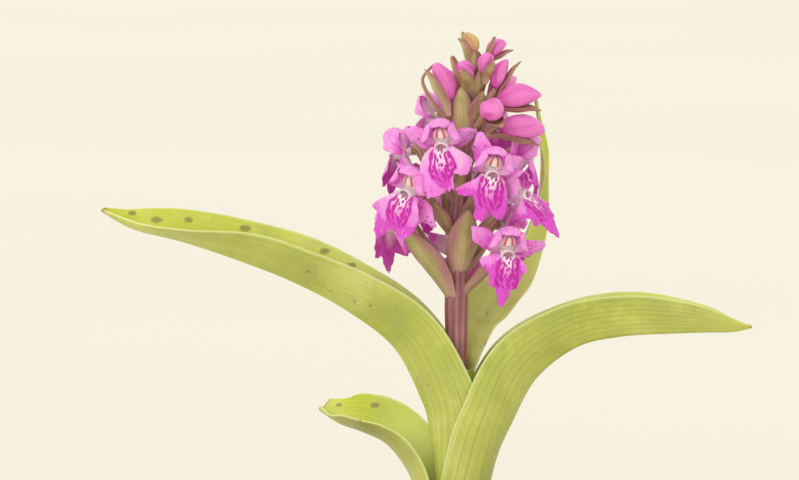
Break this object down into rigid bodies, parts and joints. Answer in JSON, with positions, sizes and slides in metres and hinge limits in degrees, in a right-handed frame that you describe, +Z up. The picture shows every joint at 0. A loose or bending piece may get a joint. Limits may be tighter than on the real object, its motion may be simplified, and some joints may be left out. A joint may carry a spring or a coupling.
{
  "type": "potted broad-leaved marsh orchid",
  "caption": "Broad-leaved marsh orchid in a plain clay pot: a leafy stem with a spike of magenta flowers and buds above folded, spotted leaves.",
  "frame": {"origin": "middle of the pot's foot, on the plane it stands on", "axes": "+Z up along the pot's axis and the flower stem; -Y faces the viewer of the picture; +X to the viewer's right"},
  "size_m": [0.1623, 0.11, 0.227],
  "materials": {
    "terracotta": "matt fired clay",
    "potting_soil": "damp crumb",
    "root": "matt",
    "stalk": "satin, ribbed",
    "leaf": "satin, finely veined",
    "petal": "soft satin",
    "bud_skin": "soft satin"
  },
  "bodies": {
    "root": {"pot": "terracotta", "soil": "potting_soil", "tubers": "root", "stem": "stalk", "leaf_back": "leaf", "leaf_left": "leaf", "leaf_right": "leaf", "leaf_low_left": "leaf", "bloom_01": "petal", "bloom_02": "petal", "bloom_03": "petal", "bloom_04": "petal", "bloom_05": "petal", "bloom_06": "petal", "bloom_07": "petal", "bloom_08": "petal", "bloom_09": "petal", "bloom_10": "petal", "bloom_11": "petal", "bloom_12": "petal", "bloom_13": "petal", "bloom_14": "petal", "bud_01": "bud_skin", "bud_02": "bud_skin", "bud_03": "bud_skin", "bud_04": "bud_skin", "bud_05": "bud_skin", "bud_06": "bud_skin", "bud_07": "bud_skin", "bud_08": "bud_skin", "bud_09": "bud_skin", "bud_10": "bud_skin", "bud_11": "bud_skin", "bud_12": "bud_skin"}
  },
  "joints": []
}
